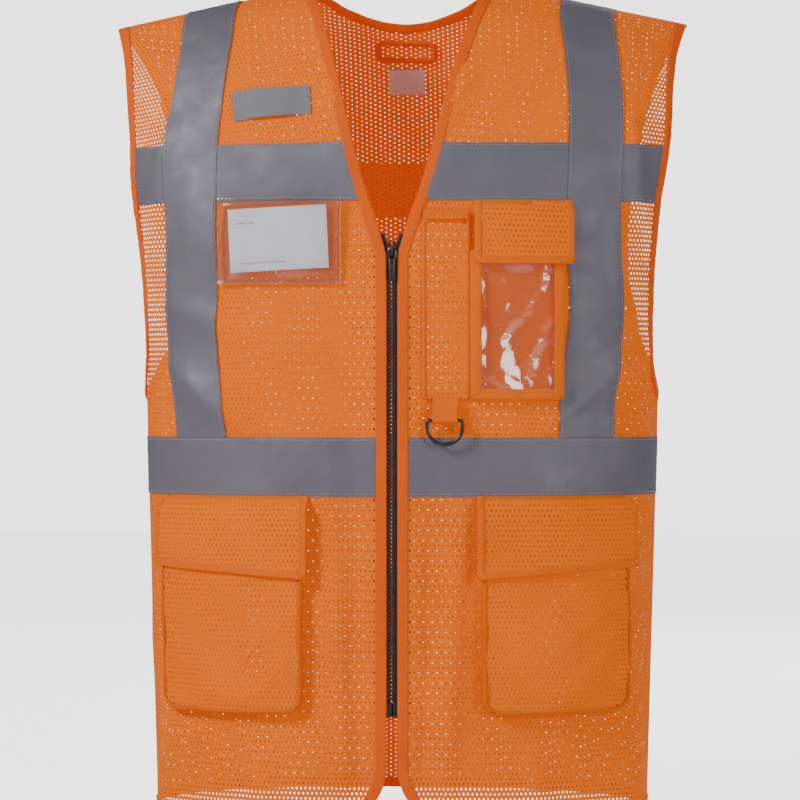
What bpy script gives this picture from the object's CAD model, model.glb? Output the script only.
"""Looks of the high visibility vest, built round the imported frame.

Metres, +Z up, the zip at -Y, the wearer's left at +X.
"""

from math import ceil, cos, hypot, pi, radians, sin

import bpy
import numpy as np
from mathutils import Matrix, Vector


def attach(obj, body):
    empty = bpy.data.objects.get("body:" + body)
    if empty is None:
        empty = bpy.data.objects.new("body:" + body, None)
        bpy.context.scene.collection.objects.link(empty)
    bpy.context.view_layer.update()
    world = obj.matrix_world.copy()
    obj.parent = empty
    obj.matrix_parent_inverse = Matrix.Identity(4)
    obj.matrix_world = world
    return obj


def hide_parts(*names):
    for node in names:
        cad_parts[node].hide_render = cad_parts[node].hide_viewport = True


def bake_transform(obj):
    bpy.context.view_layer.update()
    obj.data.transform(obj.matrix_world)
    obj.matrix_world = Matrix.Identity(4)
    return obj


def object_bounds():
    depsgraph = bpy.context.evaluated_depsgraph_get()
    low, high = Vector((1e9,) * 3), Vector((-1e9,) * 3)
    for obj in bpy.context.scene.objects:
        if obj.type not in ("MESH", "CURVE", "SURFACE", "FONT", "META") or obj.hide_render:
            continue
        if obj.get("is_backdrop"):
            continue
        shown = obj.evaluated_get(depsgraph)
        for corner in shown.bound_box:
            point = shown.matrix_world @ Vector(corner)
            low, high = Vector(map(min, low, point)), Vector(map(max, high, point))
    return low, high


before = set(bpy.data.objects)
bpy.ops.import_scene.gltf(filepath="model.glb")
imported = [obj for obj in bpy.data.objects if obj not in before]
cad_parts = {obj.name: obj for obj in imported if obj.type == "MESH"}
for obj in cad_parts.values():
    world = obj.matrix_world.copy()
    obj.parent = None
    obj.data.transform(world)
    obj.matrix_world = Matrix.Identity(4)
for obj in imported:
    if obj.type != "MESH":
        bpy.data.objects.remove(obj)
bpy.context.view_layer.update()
rng = np.random.default_rng(7)

FRONT, BACK = -1, 1
ROUND = 2.6
DEPTH = {FRONT: 0.130, BACK: 0.125}
YOKE, SPAN = 0.480, 0.225
RIDGE = YOKE + SPAN
ZIP_EDGE = 0.0044
NECKLINE = [
    (0.0044, 0.484), (0.0144, 0.517), (0.027, 0.556), (0.040, 0.606), (0.053, 0.657), (0.066, 0.700),
    (0.078, 0.729),
]
BACK_NECK, NECK_HALF = 0.705, 0.078
ARM_TILT = radians(30)
ARM_FRONT, ARM_BACK = 0.060, 0.085
UNDERARM, SHOULDER_TIP = (0.2265, 0.370), (0.254, 0.692)
CLOTH_LIFT, HOLE_MARGIN = 0.0003, 0.0035
PATH_STEP, CLOTH_STEP = 0.0022, 0.004


# The shape of the vest on the body
def smooth(t):
    """Eases from 0 to 1."""
    t = np.clip(t, 0, 1)
    return t * t * (3 - 2 * t)


def half_width(z):
    """Half of the body's width at a height."""
    return 0.217 + 0.028 * np.minimum(z, 0.33) + 0.037 * smooth((z - 0.33) / 0.38)


def crest(x):
    """Height of the shoulder ridge."""
    return 0.747 - 0.216 * np.hypot(x, 0.03)


def body(side, climb, angle):
    """Points of the bare surface. angle runs from the left side seam (0) to the right one (pi)."""
    turn = np.maximum(climb - YOKE, 0) / SPAN * pi / 2
    width = half_width(np.minimum(climb, YOKE) + SPAN * np.sin(turn))
    c, s = np.cos(angle), np.sin(angle)
    radius = (np.abs(c) ** ROUND + np.abs(s) ** ROUND) ** (-1 / ROUND)
    x = width * radius * c
    y = side * DEPTH[side] * np.cos(turn) * radius * s
    z = np.minimum(climb, YOKE) + (crest(x) - YOKE) * np.sin(turn)
    return np.stack([x, y, z], -1)


def unit(v):
    """Vectors scaled to length one."""
    return v / np.maximum(np.linalg.norm(v, axis=-1, keepdims=True), 1e-12)


def distance(points):
    """Distance along a row of points, from its start to each of them."""
    return np.concatenate([[0], np.cumsum(np.linalg.norm(np.diff(points, axis=0), axis=1))])


def normal(side, climb, angle):
    """Outward direction of the bare surface."""
    e = 2e-4
    across = body(side, climb, angle + e) - body(side, climb, angle - e)
    along = body(side, climb + e, angle) - body(side, climb - e, angle)
    return unit(np.cross(across, along)) * side


def find(x, z):
    """climb and angle of the surface point that shows at x, z from the front."""
    x, z = np.broadcast_arrays(np.asarray(x, float), np.asarray(z, float))
    sin_turn = np.clip((z - YOKE) / (crest(x) - YOKE), 0, 1)
    climb = np.where(z <= YOKE, z, YOKE + SPAN * np.arcsin(sin_turn) * 2 / pi)
    width = half_width(np.where(z <= YOKE, z, YOKE + SPAN * sin_turn))
    out = np.clip(np.abs(x) / width, 0, 1)
    return climb, np.arctan2((1 - out**ROUND) ** (1 / ROUND), out * np.sign(x))


# Folds: a height over the bare surface that every piece shares
def wave3(p, a, b, c, phase):
    """A plane sine wave through the points."""
    return np.sin(p[..., 0] * a + p[..., 1] * b + p[..., 2] * c + phase)


FRONT_FOLDS = [
    (0.060, 0.270, 0.045, 0.020, 0.010, 0.0050), (0.035, 0.250, 0.024, 0.030, 0.006, -0.0034),
    (-0.052, 0.275, -0.040, 0.010, 0.010, 0.0052), (-0.030, 0.260, -0.026, 0.040, 0.006, -0.0032),
    (-0.205, 0.395, -0.120, 0.330, 0.012, 0.0044), (0.208, 0.400, 0.130, 0.335, 0.012, 0.0042),
    (-0.190, 0.440, -0.070, 0.395, 0.014, 0.0036), (-0.110, 0.450, -0.030, 0.370, 0.012, 0.0030),
    (-0.060, 0.640, -0.030, 0.560, 0.012, 0.0030), (0.065, 0.650, 0.034, 0.575, 0.012, 0.0030),
    (-0.205, 0.090, -0.195, -0.010, 0.012, 0.0055), (0.207, 0.085, 0.200, -0.010, 0.014, 0.0052),
    (-0.125, 0.080, -0.110, -0.010, 0.013, 0.0042), (0.118, 0.085, 0.130, -0.010, 0.012, 0.0026),
    (-0.200, 0.600, -0.215, 0.480, 0.008, 0.0036), (0.205, 0.610, 0.214, 0.490, 0.008, 0.0036),
]
BACK_FOLDS = [
    (-0.150, 0.680, -0.060, 0.560, 0.016, 0.0044), (0.150, 0.675, 0.070, 0.555, 0.016, 0.0042),
    (-0.060, 0.480, -0.080, 0.340, 0.014, 0.0026), (0.075, 0.470, 0.060, 0.345, 0.013, 0.0042),
    (-0.140, 0.260, -0.150, 0.000, 0.014, 0.0052), (-0.030, 0.240, -0.020, 0.000, 0.014, 0.0050),
    (0.085, 0.255, 0.100, 0.000, 0.014, 0.0052), (0.165, 0.260, 0.175, 0.010, 0.012, 0.0044),
    (0.010, 0.500, 0.000, 0.350, 0.018, -0.0034),
]


def ridges(rows, x, z):
    """Sum of long creases, each from one point to another, with its half width and height."""
    total = np.zeros_like(x)
    for ax, az, bx, bz, wide, high in rows:
        dx, dz = bx - ax, bz - az
        length = hypot(dx, dz)
        along = ((x - ax) * dx + (z - az) * dz) / length**2
        across = ((x - ax) * dz - (z - az) * dx) / length
        ends = smooth((along + 0.2) / 0.45) * smooth((1.2 - along) / 0.45)
        total += high * np.exp(-((across / wide) ** 2)) * ends
    return total


DRAPE = {}


def drape_height(side, x, z):
    """Folds from the cloth simulation, read at a surface point."""
    climb, angle = find(x, z)
    grid = DRAPE[side]
    rows, cols = grid.shape
    r, c = np.clip(climb / RIDGE, 0, 1) * (rows - 1), np.clip(angle / pi, 0, 1) * (cols - 1)
    i, j = np.minimum(r.astype(int), rows - 2), np.minimum(c.astype(int), cols - 2)
    r, c = r - i, c - j
    low = grid[i, j] * (1 - c) + grid[i, j + 1] * c
    high = grid[i + 1, j] * (1 - c) + grid[i + 1, j + 1] * c
    return low * (1 - r) + high * r


def fold(side, p):
    """Height of the folds at bare surface points, zero at the zip, the seams and the shoulder ridge."""
    x, y, z = p[..., 0], p[..., 1], p[..., 2]
    rows = FRONT_FOLDS if side == FRONT else BACK_FOLDS
    high = ridges(rows, x, z)
    waves = 0.0014 * wave3(p, 38, 25, 21, 0.7) + 0.0012 * wave3(p, -29, 33, 47, 2.1)
    high += waves + 0.0009 * wave3(p, 71, -20, 38, 4.0)
    high += 0.00025 * wave3(p, 210, 60, -150, 1.0) * wave3(p, -90, 120, 180, 0.3)
    if side in DRAPE:
        high = high + drape_height(side, x, z)
    seam_x = half_width(z)
    high *= smooth(np.hypot(np.abs(x) - seam_x, y) / 0.045)
    high *= smooth(np.hypot(y, crest(x) - z) / 0.05)
    if side == FRONT:
        closed = smooth((np.abs(x) - 0.010) / 0.030)
        high *= np.where(z < 0.50, closed, closed + (1 - closed) * smooth((z - 0.50) / 0.06))
    return np.clip(high, -0.0045, 0.0065)


def lifted(side, climb, angle, lift):
    """A point at a lift over the folded cloth, by surface parameters."""
    p = body(side, climb, angle)
    n = normal(side, climb, angle)
    return p + n * (np.asarray(lift) + fold(side, p))[..., None]


def at(side, x, z, lift):
    """A point at a lift over the folded cloth, by where it shows from the front."""
    climb, angle = find(x, z)
    return lifted(side, climb, angle, lift)


# Arc length tables, so that the mesh holes are even on the body
def make_arcs(side):
    """Tables that turn distances along the cloth into surface parameters."""
    climbs = np.linspace(0, RIDGE, 236)
    angles = np.linspace(pi / 2, 0, 500)
    grid = body(side, climbs[:, None], angles[None, :])
    runs = np.concatenate(
        [np.zeros((len(climbs), 1)), np.cumsum(np.linalg.norm(np.diff(grid, axis=1), axis=2), axis=1)], axis=1
    )
    even = np.arange(0, runs.max() + 0.002, 0.001)
    table = np.array([np.interp(even, run, angles) for run in runs])
    rise = body(side, climbs, np.full_like(climbs, radians(60)))
    heights = distance(rise)
    return {"climbs": climbs, "table": table, "heights": heights, "reach": runs.max(), "rows": runs[:, -1]}


ARCS = {side: make_arcs(side) for side in (FRONT, BACK)}


def skin(side, u, v):
    """Bare surface parameters at arc distance u from the middle (left positive) and v up from the hem."""
    arcs = ARCS[side]
    climb = np.interp(v, arcs["heights"], arcs["climbs"])
    row = climb / RIDGE * (len(arcs["climbs"]) - 1)
    low = np.clip(row.astype(int), 0, len(arcs["climbs"]) - 2)
    share = np.clip(row - low, 0, 1)
    place = np.clip(np.abs(u) / 0.001, 0, arcs["table"].shape[1] - 1.001)
    left = place.astype(int)
    part = place - left
    pick = arcs["table"]
    a = pick[low, left] * (1 - part) + pick[low, left + 1] * part
    b = pick[low + 1, left] * (1 - part) + pick[low + 1, left + 1] * part
    angle = a * (1 - share) + b * share
    return climb, np.where(u >= 0, angle, pi - angle)


# Outlines
def arm_frame():
    """Cosine and sine of the tilt, middle and half height of the armhole tube."""
    c, s = cos(ARM_TILT), sin(ARM_TILT)
    low = UNDERARM[1] * c - UNDERARM[0] * s
    high = SHOULDER_TIP[1] * c - SHOULDER_TIP[0] * s
    return c, s, (high + low) / 2, (high - low) / 2


def in_arm(p, grow):
    """Whether points are inside the tube that cuts the armholes, widened by grow."""
    c, s, middle, tall = arm_frame()
    up = p[..., 2] * c - np.abs(p[..., 0]) * s - middle
    wide = np.where(p[..., 1] < 0, ARM_FRONT, ARM_BACK) + grow
    return ((p[..., 1] / wide) ** 2 + (up / (tall + grow)) ** 2 < 1) & (np.abs(p[..., 0]) > 0.1)


def arm_path(side, hand, count=260):
    """Points of the armhole on one side of one cloth, from the underarm to the shoulder ridge."""
    c, s, middle, tall = arm_frame()
    turn = np.linspace(-pi / 2, pi / 2, count)
    wide = ARM_FRONT if side == FRONT else ARM_BACK
    y = side * wide * np.cos(turn)
    up = middle + tall * np.sin(turn)
    low, high = np.full(count, 0.15), np.full(count, 0.60)
    for _ in range(50):
        run = (low + high) / 2
        x, z = run * c - up * s, run * s + up * c
        climb, angle = find(x, z)
        over = z > crest(x)
        share = np.clip((z - YOKE) / (crest(x) - YOKE), 0, 1)
        width = half_width(np.where(z <= YOKE, z, YOKE + SPAN * share))
        depth = np.abs(body(side, climb, np.full(count, pi / 2))[:, 1])
        outside = over | ((np.abs(x) / width) ** ROUND + (np.abs(y) / np.maximum(depth, 1e-6)) ** ROUND > 1)
        low, high = np.where(outside, low, run), np.where(outside, run, high)
    return np.stack([hand * (low * c - up * s), low * s + up * c], -1)


def line(start, end, count):
    """Points along a straight line."""
    return np.stack([np.linspace(a, b, count) for a, b in zip(start, end)], -1)


def round_trip(corners, count):
    """Points along a closed polygon, count on each edge."""
    after = np.roll(corners, -1, 0)
    return np.vstack([np.linspace(a, b, count, endpoint=False) for a, b in zip(corners, after)])


def directions(points, closed=False):
    """Unit directions along a path."""
    if closed:
        return unit(np.roll(points, -1, 0) - np.roll(points, 1, 0))
    return unit(np.gradient(points, axis=0))


def resample(points, step):
    """The same path with even steps."""
    points = np.asarray(points, float)
    run = distance(points)
    new = np.linspace(0, run[-1], max(int(round(run[-1] / step)), 2) + 1)
    return np.stack([np.interp(new, run, points[:, i]) for i in range(points.shape[1])], -1)


def curve_through(points, count):
    """A smooth curve through points (Catmull-Rom)."""
    points = np.asarray(points, float)
    ends = np.vstack([2 * points[0] - points[1], points, 2 * points[-1] - points[-2]])
    out = []
    for i in range(len(points) - 1):
        p0, p1, p2, p3 = ends[i : i + 4]
        t = np.linspace(0, 1, count, endpoint=False)[:, None]
        square, cube = 2 * p0 - 5 * p1 + 4 * p2 - p3, 3 * p1 - p0 - 3 * p2 + p3
        out.append(0.5 * (2 * p1 + (p2 - p0) * t + square * t**2 + cube * t**3))
    return np.vstack(out + [points[-1:]])


NECK_CURVE = curve_through(NECKLINE, 60)


def neck_x(z):
    """How far out the neckline of a front is at a height."""
    return np.interp(z, NECK_CURVE[:, 1], NECK_CURVE[:, 0])


# Mesh building
def mesh_object(name, verts, faces, material, uv=None):
    """A new object. uv holds metres along the cloth, one pair for each vertex."""
    mesh = bpy.data.meshes.new(name)
    mesh.from_pydata(np.asarray(verts, float).tolist(), [], [list(map(int, f)) for f in faces])
    if uv is not None:
        layer = mesh.uv_layers.new(name="cloth")
        index = np.zeros(len(mesh.loops), np.int32)
        mesh.loops.foreach_get("vertex_index", index)
        layer.data.foreach_set("uv", np.asarray(uv, np.float32)[index].ravel())
    mesh.polygons.foreach_set("use_smooth", np.ones(len(mesh.polygons), bool))
    mesh.update()
    obj = bpy.data.objects.new(name, mesh)
    bpy.context.scene.collection.objects.link(obj)
    mesh.materials.append(material)
    return obj


class Heap:
    """Collects small meshes into one piece."""

    def __init__(self):
        self.verts, self.faces, self.uv, self.count = [], [], [], 0

    def add(self, verts, faces, uv=None):
        verts = np.asarray(verts, float).reshape(-1, 3)
        self.verts.append(verts)
        self.faces += [[i + self.count for i in f] for f in faces]
        self.uv.append(np.zeros((len(verts), 2)) if uv is None else np.asarray(uv, float).reshape(-1, 2))
        self.count += len(verts)

    def build(self, name, material):
        return mesh_object(name, np.vstack(self.verts), self.faces, material, np.vstack(self.uv))


def grid_faces(rows, cols, start=0, wrap_rows=False, wrap_cols=False, flip=False):
    """Quads between rows * cols vertices, round in either direction if told to wrap."""
    faces = []
    for r in range(rows if wrap_rows else rows - 1):
        for c in range(cols if wrap_cols else cols - 1):
            a, b = start + r * cols + c, start + r * cols + (c + 1) % cols
            d, e = start + ((r + 1) % rows) * cols + c, start + ((r + 1) % rows) * cols + (c + 1) % cols
            faces.append([a, d, e, b] if flip else [a, b, e, d])
    return faces


def spaced(a, b, step, edge=0.0006):
    """Stations from a to b with a pair close to each end, so that a cloth edge can be rounded."""
    sign = 1 if b > a else -1
    inner = np.linspace(a + sign * edge, b - sign * edge, max(int(ceil(abs(b - a) / step)), 2) + 1)
    return np.concatenate([[a], inner, [b]])


def thick(place, us, vs, low, high):
    """A closed thin sheet. place(u, v, lift) gives points; us and vs are its stations."""
    u, v = np.meshgrid(us, vs, indexing="ij")
    rows, cols = u.shape
    edge = np.zeros(u.shape, bool)
    edge[0], edge[-1], edge[:, 0], edge[:, -1] = True, True, True, True
    middle = (low + high) / 2
    top = place(u, v, np.where(edge, middle + (high - middle) * 0.35, high))
    under = place(u, v, np.where(edge, middle + (low - middle) * 0.35, low))
    verts = np.concatenate([top.reshape(-1, 3), under.reshape(-1, 3)])
    count = rows * cols
    faces = grid_faces(rows, cols) + grid_faces(rows, cols, count, flip=True)
    ring = [r * cols for r in range(rows)] + [(rows - 1) * cols + c for c in range(1, cols)]
    ring += [r * cols + cols - 1 for r in range(rows - 2, -1, -1)] + [c for c in range(cols - 2, 0, -1)]
    for i, a in enumerate(ring):
        b = ring[(i + 1) % len(ring)]
        faces.append([b, a, a + count, b + count])
    uv = np.stack([u, v], -1).reshape(-1, 2)
    centre_face = faces[(rows // 2) * (cols - 1) + cols // 2]
    a, b, c = (verts[centre_face[i]] for i in range(3))
    away = verts[centre_face[0]] - verts[centre_face[0] + count]
    if np.dot(np.cross(b - a, c - b), away) < 0:
        faces = [f[::-1] for f in faces]
    return verts, faces, np.vstack([uv, uv])


def sheet(name, material, place, us, vs, low, high, uv_scale=(1, 1)):
    """A thin sheet as a piece of its own."""
    verts, faces, uv = thick(place, us, vs, low, high)
    return mesh_object(name, verts, faces, material, uv * np.array(uv_scale))


def sweep(points, inward, outward, profile, closed=False):
    """A closed profile of (distance inward, lift) carried along a path."""
    profile = np.asarray(profile, float)
    verts = points[:, None] + inward[:, None] * profile[None, :, :1]
    verts = verts + outward[:, None] * profile[None, :, 1:2]
    rows, cols = len(points), len(profile)
    faces = grid_faces(rows, cols, wrap_rows=closed, wrap_cols=True)
    if not closed:
        faces.append(list(range(cols))[::-1])
        faces.append([(rows - 1) * cols + c for c in range(cols)])
    run = distance(points)
    girth = distance(profile)
    uv = np.stack(np.meshgrid(run, girth, indexing="ij"), -1).reshape(-1, 2)
    verts = verts.reshape(-1, 3)
    middle = rows // 2 * cols
    ring = verts[middle : middle + cols]
    centre = ring.mean(0)
    a, b, c = (verts[faces[rows // 2 * cols][i]] for i in range(3))
    if np.dot(np.cross(b - a, c - b), a - centre) < 0:
        faces = [f[::-1] for f in faces]
    return verts, faces, uv


def path_frame(side, xz, step, hand, closed=False):
    """Points, inward directions and outward normals along a path given in x and z, folds included."""
    climb, angle = find(xz[:, 0], xz[:, 1])
    bare = np.column_stack([lifted(side, climb, angle, 0), climb, angle])
    run = distance(bare[:, :3])
    count = max(int(round(run[-1] / step)), 3) + (0 if closed else 1)
    new = np.linspace(0, run[-1], count, endpoint=not closed)
    climb, angle = np.interp(new, run, climb), np.interp(new, run, angle)
    points = lifted(side, climb, angle, 0)
    outward = normal(side, climb, angle)
    inward = unit(np.cross(outward, directions(points, closed))) * hand
    return points, inward, outward


# Profile of a folded binding: (distance inward, lift)
FOLDED = [
    (0.0095, 0.0006), (0.0092, 0.0010), (0.0080, 0.00125), (0.0050, 0.00135), (0.0020, 0.0014),
    (0.0007, 0.00125), (0.0001, 0.0008), (0.0001, 0.0001), (0.0007, -0.0004), (0.0020, -0.00055),
    (0.0050, -0.0005), (0.0080, -0.00045), (0.0092, -0.0002), (0.0095, 0.0002),
]
# One stitch: (share of its length, lift, share of its thickness)
STITCH = np.array([
    (0.0, -0.00018, 0.6), (0.22, 0.0001, 1.0), (0.5, 0.0002, 1.05), (0.78, 0.0001, 1.0),
    (1.0, -0.00018, 0.6),
])
STITCH_GAP, STITCH_LENGTH, THREAD_RADIUS = 0.0032, 0.0023, 0.00023


def stitch(heap, points, outward):
    """A row of short thread stitches along a path."""
    run = distance(points)
    count = int(run[-1] / STITCH_GAP)
    if count < 1:
        return
    starts = (np.arange(count) + 0.2) * STITCH_GAP
    sides = 5
    place = starts[:, None] + STITCH[None, :, 0] * STITCH_LENGTH

    def read(rows, s):
        return np.stack([np.interp(s, run, rows[:, i]) for i in range(3)], -1)

    p, n = read(points, place), read(outward, place)
    t = unit(read(points, place + 1e-4) - read(points, place - 1e-4))
    w = unit(np.cross(n, t))
    rings = []
    for k in range(sides):
        a = 2 * pi * k / sides
        girth = THREAD_RADIUS * STITCH[None, :, 2, None]
        rings.append(p + n * (STITCH[None, :, 1, None] + cos(a) * girth) + w * sin(a) * girth)
    verts = np.stack(rings, 2)
    one = grid_faces(len(STITCH), sides, wrap_cols=True)
    step = len(STITCH) * sides
    heap.add(verts.reshape(-1, 3), [[i + s * step for i in f] for s in range(count) for f in one])


def stitch_forward(heap, points):
    """Stitches on a part that faces forward."""
    stitch(heap, points, np.tile([0.0, -1.0, 0.0], (len(points), 1)))


# Mesh holes: distance along a row, distance of the rows, half width and half height
HOLE_PITCH, HOLE_ROW = 0.0038, 0.0043
FRONT_HOLE, BACK_HOLE = (0.00053, 0.00104), (0.00031, 0.00064)


def lattice(name, side, keep, lift, hole=FRONT_HOLE, crosswise=False):
    """Knitted mesh with real holes in staggered rows. keep says which holes exist, by bare surface point."""
    arcs = ARCS[side]
    top = arcs["heights"][-1]
    if crosswise:
        half = int(arcs["reach"] / HOLE_ROW) + 1
        rr, cc = np.meshgrid(np.arange(-half, half + 1), np.arange(int(top / HOLE_PITCH) + 1), indexing="ij")
        u, v = rr * HOLE_ROW, (cc + 0.5 * (rr % 2)) * HOLE_PITCH
    else:
        half = int(arcs["reach"] / HOLE_PITCH) + 1
        rr, cc = np.meshgrid(np.arange(int(top / HOLE_ROW) + 1), np.arange(-half, half + 1), indexing="ij")
        u, v = (cc + 0.5 * (rr % 2)) * HOLE_PITCH, rr * HOLE_ROW + 0.001
    climb, angle = skin(side, u, v)
    total = np.interp(climb, arcs["climbs"], arcs["rows"])
    centre = body(side, climb, angle)
    there = keep(centre) & (np.abs(u) <= total + 0.001) & (v <= top)
    # vertices of six-sided holes: top, upper left, lower left, bottom, lower right, upper right
    grow = 1 + 0.10 * wave3(centre, 130, 80, 95, 0.4) + 0.06 * rng.standard_normal(u.shape)
    a, b = hole[0] * grow, hole[1] * grow
    du = np.stack([0 * a, -a, -a, 0 * a, a, a], -1) + rng.normal(0, 3.5e-5, u.shape + (6,))
    dv = np.stack([b, b / 2, -b / 2, -b, -b / 2, b / 2], -1) + rng.normal(0, 3.5e-5, u.shape + (6,))
    if crosswise:
        du, dv = dv, du
    e = 0.001
    c1, a1 = skin(side, u + e, v)
    c0, a0 = skin(side, u - e, v)
    right = (body(side, c1, a1) - body(side, c0, a0)) / (2 * e)
    over = np.abs(u) + e > total
    flat_right = unit(np.where(over[..., None], np.stack([0 * u, -side * np.sign(u), 0 * u], -1), right))
    c1, a1 = skin(side, u, np.minimum(v + e, top))
    c0, a0 = skin(side, u, np.maximum(v - e, 0))
    up = unit(body(side, c1, a1) - body(side, c0, a0))
    out = normal(side, climb, angle)
    points = centre[..., None, :] + flat_right[..., None, :] * du[..., None]
    points = points + up[..., None, :] * dv[..., None]
    relief = np.array([-1, 1, 1, -1, 1, 1]) * 0.00007
    height = lift(points) + fold(side, points) + relief
    points = points + out[..., None, :] * height[..., None]
    verts = points.reshape(-1, 3)
    rows, cols = u.shape
    number = (np.arange(rows * cols) * 6).reshape(rows, cols)
    T, UL, LL, B, LR, UR = range(6)
    faces = []
    R, C = np.meshgrid(np.arange(rows - 1), np.arange(1, cols - 2), indexing="ij")
    shift = rr[R, C] % 2
    here, beside = number[R, C], number[R, C + 1]
    above, before = number[R + 1, C + shift], number[R + 1, C + shift - 1]
    ok_here, ok_beside = there[R, C], there[R, C + 1]
    ok_above, ok_before = there[R + 1, C + shift], there[R + 1, C + shift - 1]
    both = ok_here & ok_beside

    def collect(mask, *corners):
        return np.stack([corner[mask] for corner in corners], -1).tolist()

    faces += collect(both, here + LR, beside + LL, beside + UL, here + UR)
    faces += collect(both & ok_above, here + UR, beside + UL, above + B)
    faces += collect(both & ok_above, here + T, here + UR, above + B, above + LL)
    faces += collect(both & ok_above, beside + UL, beside + T, above + LR, above + B)
    faces += collect(ok_here & ok_above & ok_before, here + T, above + LL, before + LR)
    used = np.unique(np.concatenate([np.ravel(f) for f in faces]))
    lookup = np.full(len(verts), -1)
    lookup[used] = np.arange(len(used))
    if (side == BACK) != crosswise:
        faces = [f[::-1] for f in faces]
    faces = [[int(lookup[i]) for i in f] for f in faces]
    uv = np.stack([u[..., None] + du, v[..., None] + dv], -1).reshape(-1, 2)[used]
    return mesh_object(name, verts[used], faces, mesh_cloth, uv)


# Materials
class Shader:
    """A principled material with a few helpers for its nodes."""

    def __init__(self, name, color, roughness, **inputs):
        self.material = bpy.data.materials.new(name)
        self.material.use_nodes = True
        self.tree = self.material.node_tree
        self.base = self.tree.nodes["Principled BSDF"]
        self.base.inputs["Base Color"].default_value = (*color, 1)
        self.base.inputs["Roughness"].default_value = roughness
        for key, value in inputs.items():
            self.base.inputs[key.replace("_", " ")].default_value = value
        self.where = self.tree.nodes.new("ShaderNodeTexCoord").outputs["Object"]
        along = self.tree.nodes.new("ShaderNodeUVMap")
        along.uv_map = "cloth"
        self.along = along.outputs["UV"]
        self.normal = None

    def put(self, socket, value):
        """A number, a colour or another node's output into a socket."""
        if isinstance(value, bpy.types.NodeSocket):
            self.tree.links.new(value, socket)
        else:
            socket.default_value = value

    def node(self, kind, settings=None, **inputs):
        made = self.tree.nodes.new(kind)
        for key, value in (settings or {}).items():
            setattr(made, key, value)
        for key, value in inputs.items():
            self.put(made.inputs[key.replace("_", " ")], value)
        return made

    def noise(self, scale, detail=3):
        return self.node("ShaderNodeTexNoise", Scale=scale, Detail=detail, Vector=self.where).outputs["Fac"]

    def wave(self, scale, direction, vector, distortion=0.0):
        inputs = {"Scale": scale, "Distortion": distortion, "Detail": 1.0, "Vector": vector}
        return self.node("ShaderNodeTexWave", {"bands_direction": direction}, **inputs).outputs["Fac"]

    def math(self, what, a, b=0.0):
        made = self.tree.nodes.new("ShaderNodeMath")
        made.operation = what
        self.put(made.inputs[0], a)
        self.put(made.inputs[1], b)
        return made.outputs[0]

    def span(self, value, low, high, to_low, to_high):
        made = self.node(
            "ShaderNodeMapRange", Value=value, From_Min=low, From_Max=high, To_Min=to_low, To_Max=to_high
        )
        return made.outputs["Result"]

    def tint(self, factor, color_a, color_b):
        made = self.tree.nodes.new("ShaderNodeMix")
        made.data_type = "RGBA"
        self.tree.links.new(factor, made.inputs[0])
        for socket, value in ((made.inputs[6], color_a), (made.inputs[7], color_b)):
            self.put(socket, value if isinstance(value, bpy.types.NodeSocket) else (*value, 1))
        return made.outputs[2]

    def bump(self, height, distance, strength=1.0):
        made = self.node("ShaderNodeBump", Height=height, Distance=distance, Strength=strength)
        if self.normal is not None:
            self.tree.links.new(self.normal, made.inputs["Normal"])
        self.normal = made.outputs["Normal"]
        self.tree.links.new(self.normal, self.base.inputs["Normal"])

    def feed(self, name, value):
        self.tree.links.new(value, self.base.inputs[name])


def shade(color, factor):
    """A colour made darker or lighter."""
    return tuple(min(c * factor, 1) for c in color)


def cloth_material(name, color, roughness=0.8, knit=620.0, along=False, glow=0.05):
    s = Shader(name, color, roughness, Sheen_Weight=0.12, Sheen_Roughness=0.4, Specular_IOR_Level=0.12)
    s.base.inputs["Sheen Tint"].default_value = (*shade(color, 1.2), 1)
    s.base.inputs["Emission Color"].default_value = (color[0], color[1] * 0.9, 0, 1)
    s.base.inputs["Emission Strength"].default_value = glow
    patches = s.span(s.noise(14, 3), 0.3, 0.7, 0.0, 1.0)
    worn = s.tint(patches, shade(color, 0.93), shade(color, 1.06))
    yarn = s.span(s.noise(1500, 2), 0.35, 0.65, 0.0, 1.0)
    s.feed("Base Color", s.tint(s.math("MULTIPLY", yarn, 0.35), worn, shade(color, 0.72)))
    vector = s.along if along else s.where
    loops = s.wave(knit * 0.5, "Z" if not along else "X", vector, 1.2)
    cross = s.wave(knit * 0.42, "X" if not along else "Y", vector, 0.8)
    s.bump(s.math("MULTIPLY", loops, cross), 0.00022, 0.6)
    s.bump(s.noise(2400, 2), 0.00012, 0.5)
    s.feed("Roughness", s.span(s.noise(60), 0.3, 0.7, roughness - 0.10, min(roughness + 0.10, 1)))
    return s.material


ORANGE = (0.90, 0.170, 0.002)
TRIM = (0.80, 0.110, 0.002)
mesh_cloth = cloth_material("orange_mesh", ORANGE, 0.75, 620, glow=0.20)
lining = cloth_material("orange_lining", shade(ORANGE, 0.80), 0.85, 700, glow=0.12)
hem_cloth = cloth_material("orange_facing", (0.84, 0.145, 0.002), 0.8, 520, along=True, glow=0.16)
trim_cloth = cloth_material("orange_binding", TRIM, 0.72, 560, along=True, glow=0.14)
label_cloth = cloth_material("white_label", (0.78, 0.78, 0.76), 0.55, 900, along=True, glow=0.0)


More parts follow.
